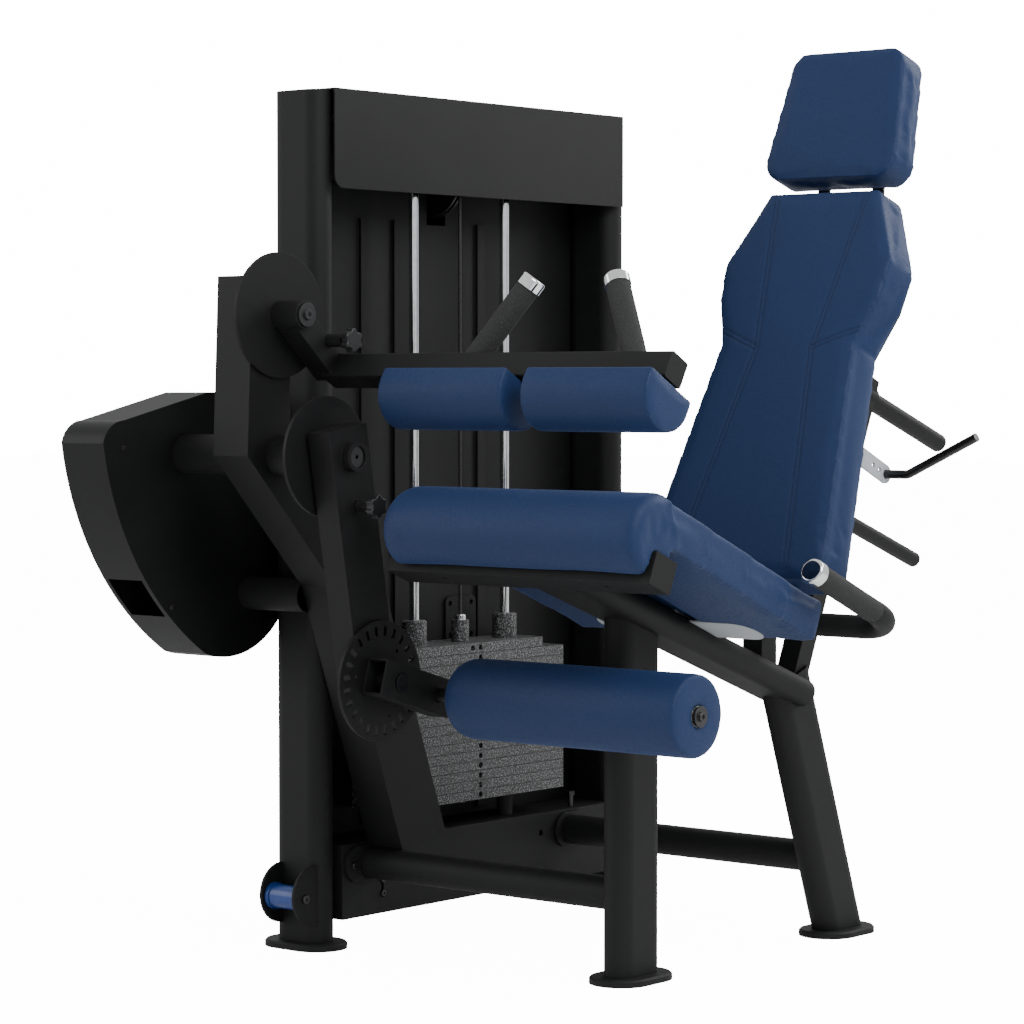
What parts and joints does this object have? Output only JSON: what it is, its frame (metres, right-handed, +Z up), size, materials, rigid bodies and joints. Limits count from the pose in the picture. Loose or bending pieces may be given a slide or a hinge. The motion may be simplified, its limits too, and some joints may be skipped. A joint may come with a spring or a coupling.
{
  "type": "leg extension machine",
  "caption": "Selectorised leg extension machine: covered weight tower and cam drive beside a sloping seat with ankle roller, thigh pads, sliding backrest and side grips.",
  "frame": {"origin": "centre of the bounding box on the floor", "axes": "+Z up; the sitter faces -Y; the weight tower is on the -X side, to the sitter's right"},
  "size_m": [1.1359, 1.4546, 1.5898],
  "materials": {
    "frame_paint": "fine textured black powder coat",
    "sheet_paint": "smooth black paint",
    "arm_paint": "satin black paint",
    "grey_paint": "satin grey paint",
    "chrome": "polished",
    "zinc": "bright plated",
    "cast_plate": "speckled grey coating",
    "vinyl": "blue upholstery with stitched seams",
    "foam_roller": "blue cover",
    "grip_rubber": "matt",
    "knob_plastic": "moulded",
    "blue_plastic": "moulded",
    "board": "moulded back shell",
    "cable_cover": "smooth",
    "bronze": "sintered"
  },
  "bodies": {
    "frame": {"tower_columns": "frame_paint", "foot_plates": "frame_paint", "tower_beams": "frame_paint", "back_panel": "sheet_paint", "top_hood": "sheet_paint", "rear_shroud": "sheet_paint", "guide_rods": "chrome", "stack_bumpers": "grip_rubber", "lower_plates": "cast_plate", "mounting_plates": "frame_paint", "goose_neck": "sheet_paint", "bearing_housing": "arm_paint", "shaft_bearings": "bronze", "pulley_brackets": "frame_paint", "casing_sides": "sheet_paint", "casing_rim": "sheet_paint", "frame_tubes": "frame_paint", "frame_bolts": "zinc", "thigh_disc": "arm_paint", "thigh_pivot": "zinc", "seat_beam": "frame_paint", "seat_cushion": "vinyl", "seat_brackets": "grey_paint", "front_leg": "frame_paint", "rear_leg": "frame_paint", "rear_upright": "frame_paint", "side_handle": "frame_paint", "side_grips": "grip_rubber", "side_grip_caps": "chrome", "drive_cable": "cable_cover"},
    "drive": {"drive_shaft": "zinc", "start_disc": "arm_paint", "cam_wheel": "zinc"},
    "movement_arm": {"movement_arm": "arm_paint", "slotted_disc": "arm_paint", "roller_pivot": "zinc"},
    "arm_pin": {"arm_pull_pin": "knob_plastic"},
    "roller_arm": {"roller_arm": "arm_paint", "roller_axle": "zinc"},
    "ankle_roller": {"ankle_roller": "foam_roller", "roller_sleeve": "zinc"},
    "thigh_group": {"thigh_arm": "arm_paint", "thigh_pad_left": "vinyl", "thigh_pad_right": "vinyl", "thigh_grips": "grip_rubber", "thigh_grip_caps": "chrome"},
    "thigh_pin": {"thigh_pull_pin": "knob_plastic"},
    "stack": {"lifted_plates": "cast_plate", "top_plate": "cast_plate", "selector_stem": "chrome"},
    "selector": {"selector_pin": "knob_plastic"},
    "idler": {"idler_pulley": "knob_plastic"},
    "turn": {"turn_pulley": "knob_plastic"},
    "top_wheel": {"top_pulley": "knob_plastic"},
    "backrest": {"backrest_pad": "vinyl", "backrest_board": "board", "headrest_pad": "vinyl", "backrest_bars": "arm_paint"},
    "lever": {"release_lever": "zinc"},
    "transport_roller": {"transport_roller": "blue_plastic"}
  },
  "joints": [
    {"name": "knee_drive", "type": "hinge", "parent": "frame", "child": "drive", "pos_m": [-0.1285, -0.53329, 0.868], "axis": [-1, 0, 0], "range_deg": [0, 100]},
    {"name": "arm_start", "type": "hinge", "parent": "drive", "child": "movement_arm", "pos_m": [-0.1285, -0.53329, 0.868], "axis": [-1, 0, 0], "range_deg": [0, 25]},
    {"name": "arm_pin_slide", "type": "slide", "parent": "movement_arm", "child": "arm_pin", "axis": [-1, 0, 0], "range_m": [0, 0.0065]},
    {"name": "roller_adjust", "type": "hinge", "parent": "movement_arm", "child": "roller_arm", "pos_m": [-0.0735, -0.46831, 0.49563], "axis": [-1, 0, 0], "range_deg": [0, 90]},
    {"name": "roller_spin", "type": "hinge", "parent": "roller_arm", "child": "ankle_roller", "pos_m": [0.2575, -0.37146, 0.46694], "axis": [1, 0, 0], "continuous": true},
    {"name": "thigh_adjust", "type": "hinge", "parent": "frame", "child": "thigh_group", "pos_m": [-0.236, -0.53629, 1.102], "axis": [1, 0, 0], "range_deg": [-12.5, 25]},
    {"name": "thigh_pin_slide", "type": "slide", "parent": "thigh_group", "child": "thigh_pin", "axis": [-1, 0, 0], "range_m": [0, 0.006]},
    {"name": "stack_slide", "type": "slide", "parent": "frame", "child": "stack", "axis": [0, 0, 1], "range_m": [0, 0.1381]},
    {"name": "selector_slide", "type": "slide", "parent": "stack", "child": "selector", "axis": [1, 0, 0], "range_m": [0, 0.07]},
    {"name": "idler_spin", "type": "hinge", "parent": "frame", "child": "idler", "pos_m": [-0.5125, -0.49029, 0.625], "axis": [-1, 0, 0], "range_deg": [0, 158]},
    {"name": "turn_spin", "type": "hinge", "parent": "frame", "child": "turn", "pos_m": [-0.5125, 0.0337, 0.625], "axis": [-1, 0, 0], "range_deg": [0, 158]},
    {"name": "top_spin", "type": "hinge", "parent": "frame", "child": "top_wheel", "pos_m": [-0.4435, 0.08371, 1.37], "axis": [0, -1, 0], "range_deg": [0, 115.04]},
    {"name": "backrest_slide", "type": "slide", "parent": "frame", "child": "backrest", "axis": [0, -0.9426, 0.3338], "range_m": [-0.085, 0.15]},
    {"name": "lever_release", "type": "hinge", "parent": "frame", "child": "lever", "pos_m": [0.2775, 0.50321, 0.82383], "axis": [1, 0, 0], "range_deg": [0, 15], "stiffness_Nm_per_rad": 2, "springref_deg": -5.73},
    {"name": "transport_spin", "type": "hinge", "parent": "frame", "child": "transport_roller", "pos_m": [-0.3785, -0.37329, 0.093], "axis": [1, 0, 0], "continuous": true}
  ],
  "couplings": [
    {"joint": "stack_slide", "follows": "knee_drive", "m_per_rad": 0.078},
    {"joint": "idler_spin", "follows": "knee_drive", "ratio": 1.56},
    {"joint": "turn_spin", "follows": "knee_drive", "ratio": 1.56},
    {"joint": "top_spin", "follows": "knee_drive", "ratio": 1.1304}
  ]
}
